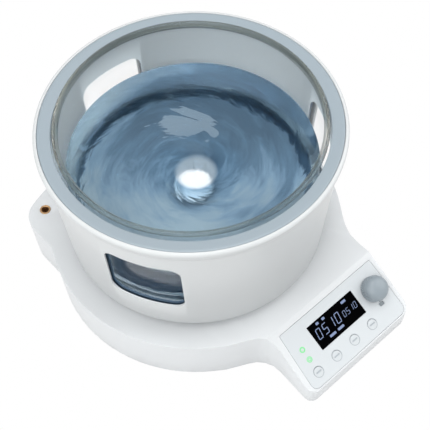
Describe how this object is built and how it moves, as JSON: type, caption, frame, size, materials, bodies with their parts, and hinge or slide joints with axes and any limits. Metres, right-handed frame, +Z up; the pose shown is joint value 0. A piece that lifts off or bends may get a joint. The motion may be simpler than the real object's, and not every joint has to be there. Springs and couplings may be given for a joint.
{
  "type": "magnetic stirring water bath",
  "caption": "Bench water bath: a glass basin in a tapered windowed drum on a low moulded base with a stirring motor, a heated plate and a sloping control panel with display, keys and a knob.",
  "frame": {"origin": "centre of the bounding box seen from above, at the height of the feet's underside", "axes": "+Z up along the drum's axis, -Y towards the control panel, +X to the right of a person facing the panel; the drum's axis stands at X = 0, Y = +0.0296"},
  "size_m": [0.2866, 0.3446, 0.2064],
  "materials": {
    "white_housing": "satin white, slightly glossy",
    "grey_liner": "satin blue-grey",
    "black_plastic": "matte black",
    "clear_glass": "clear, polished",
    "brushed_aluminium": "plain aluminium",
    "zinc_steel": "zinc plated",
    "bearing_steel": "ground steel",
    "brass": "plain brass",
    "hot_plate_grey": "grey coated",
    "mineral_board": "mineral fibre board",
    "mica": "mica sheet",
    "copper_winding": "varnished copper",
    "magnet_nickel": "nickel plated",
    "ptfe": "smooth white",
    "faceplate": "fine satin",
    "display_lens": "black, polished",
    "display_glass": "smooth",
    "circuit_board": "green solder mask",
    "key_plastic": "satin",
    "lamp_green": "clear green",
    "knob_grey": "satin grey",
    "rubber": "matte"
  },
  "bodies": {
    "base": {"base_housing": "white_housing", "base_plate": "black_plastic", "base_screw_1": "zinc_steel", "base_screw_2": "zinc_steel", "base_screw_3": "zinc_steel", "base_screw_4": "zinc_steel", "foot_front_left": "rubber", "foot_front_right": "rubber", "foot_rear_left": "rubber", "foot_rear_right": "rubber", "rod_bush": "brass", "service_plate": "black_plastic", "mains_inlet": "black_plastic", "switch_frame": "black_plastic", "sensor_socket": "bearing_steel", "motor_bracket": "zinc_steel", "motor_can": "zinc_steel", "motor_stator": "copper_winding", "upper_bearing": "bearing_steel", "lower_bearing": "bearing_steel", "power_board": "circuit_board", "supply_module": "black_plastic", "triac_heatsink": "brushed_aluminium", "faceplate": "faceplate", "display_lens": "display_lens", "display_module": "display_glass", "control_board": "circuit_board", "upper_lamp": "lamp_green", "lower_lamp": "lamp_green", "encoder_case": "zinc_steel", "pedestal": "black_plastic", "drum_shell": "white_housing", "inner_liner": "grey_liner", "drum_floor": "brushed_aluminium", "drum_screw_1": "zinc_steel", "drum_screw_2": "zinc_steel", "drum_screw_3": "zinc_steel", "drum_screw_4": "zinc_steel", "insulation_board": "mineral_board", "heating_element": "mica", "hot_plate": "hot_plate_grey", "plate_sensor": "bearing_steel", "thermal_cutout": "black_plastic"},
    "drive_rotor": {"drive_shaft": "bearing_steel", "armature": "zinc_steel", "magnet_holder": "brushed_aluminium", "north_magnet": "magnet_nickel", "south_magnet": "magnet_nickel"},
    "basin": {"glass_basin": "clear_glass"},
    "stirrer": {"stir_bar": "ptfe"},
    "press_plunger": {"encoder_plunger": "black_plastic"},
    "control_knob": {"encoder_shaft": "bearing_steel", "knob": "knob_grey"},
    "panel_key_1": {"key_1": "key_plastic"},
    "panel_key_2": {"key_2": "key_plastic"},
    "panel_key_3": {"key_3": "key_plastic"},
    "panel_key_4": {"key_4": "key_plastic"},
    "fuse_tray": {"fuse_drawer": "black_plastic"},
    "mains_rocker": {"power_rocker": "black_plastic"}
  },
  "joints": [
    {"name": "motor_spin", "type": "hinge", "parent": "base", "child": "drive_rotor", "pos_m": [0, 0.0296, 0.03], "axis": [0, 0, 1], "continuous": true},
    {"name": "basin_lift", "type": "slide", "parent": "base", "child": "basin", "axis": [0, 0, 1], "range_m": [0, 0.15]},
    {"name": "bar_spin", "type": "hinge", "parent": "basin", "child": "stirrer", "pos_m": [0, 0.0296, 0.0959], "axis": [0, 0, 1], "continuous": true},
    {"name": "knob_press", "type": "slide", "parent": "base", "child": "press_plunger", "axis": [0, 0.4848, -0.8746], "range_m": [0, 0.0006], "stiffness_N_per_m": 1500, "springref_m": -0.0003},
    {"name": "knob_turn", "type": "hinge", "parent": "press_plunger", "child": "control_knob", "pos_m": [0.0728, -0.13864, 0.04046], "axis": [0, -0.4848, 0.8746], "continuous": true},
    {"name": "key_1_press", "type": "slide", "parent": "base", "child": "panel_key_1", "axis": [0, 0.4848, -0.8746], "range_m": [0, 0.0006], "stiffness_N_per_m": 400, "springref_m": -0.0003},
    {"name": "key_2_press", "type": "slide", "parent": "base", "child": "panel_key_2", "axis": [0, 0.4848, -0.8746], "range_m": [0, 0.0006], "stiffness_N_per_m": 400, "springref_m": -0.0003},
    {"name": "key_3_press", "type": "slide", "parent": "base", "child": "panel_key_3", "axis": [0, 0.4848, -0.8746], "range_m": [0, 0.0006], "stiffness_N_per_m": 400, "springref_m": -0.0003},
    {"name": "key_4_press", "type": "slide", "parent": "base", "child": "panel_key_4", "axis": [0, 0.4848, -0.8746], "range_m": [0, 0.0006], "stiffness_N_per_m": 400, "springref_m": -0.0003},
    {"name": "fuse_tray_pull", "type": "slide", "parent": "base", "child": "fuse_tray", "axis": [0, 1, 0], "range_m": [0, 0.014]},
    {"name": "rocker_tip", "type": "hinge", "parent": "base", "child": "mains_rocker", "pos_m": [0.0078, 0.15866, 0.0285], "axis": [1, 0, 0], "range_deg": [0, 18]}
  ],
  "couplings": [
    {"joint": "bar_spin", "follows": "motor_spin", "ratio": 1}
  ]
}
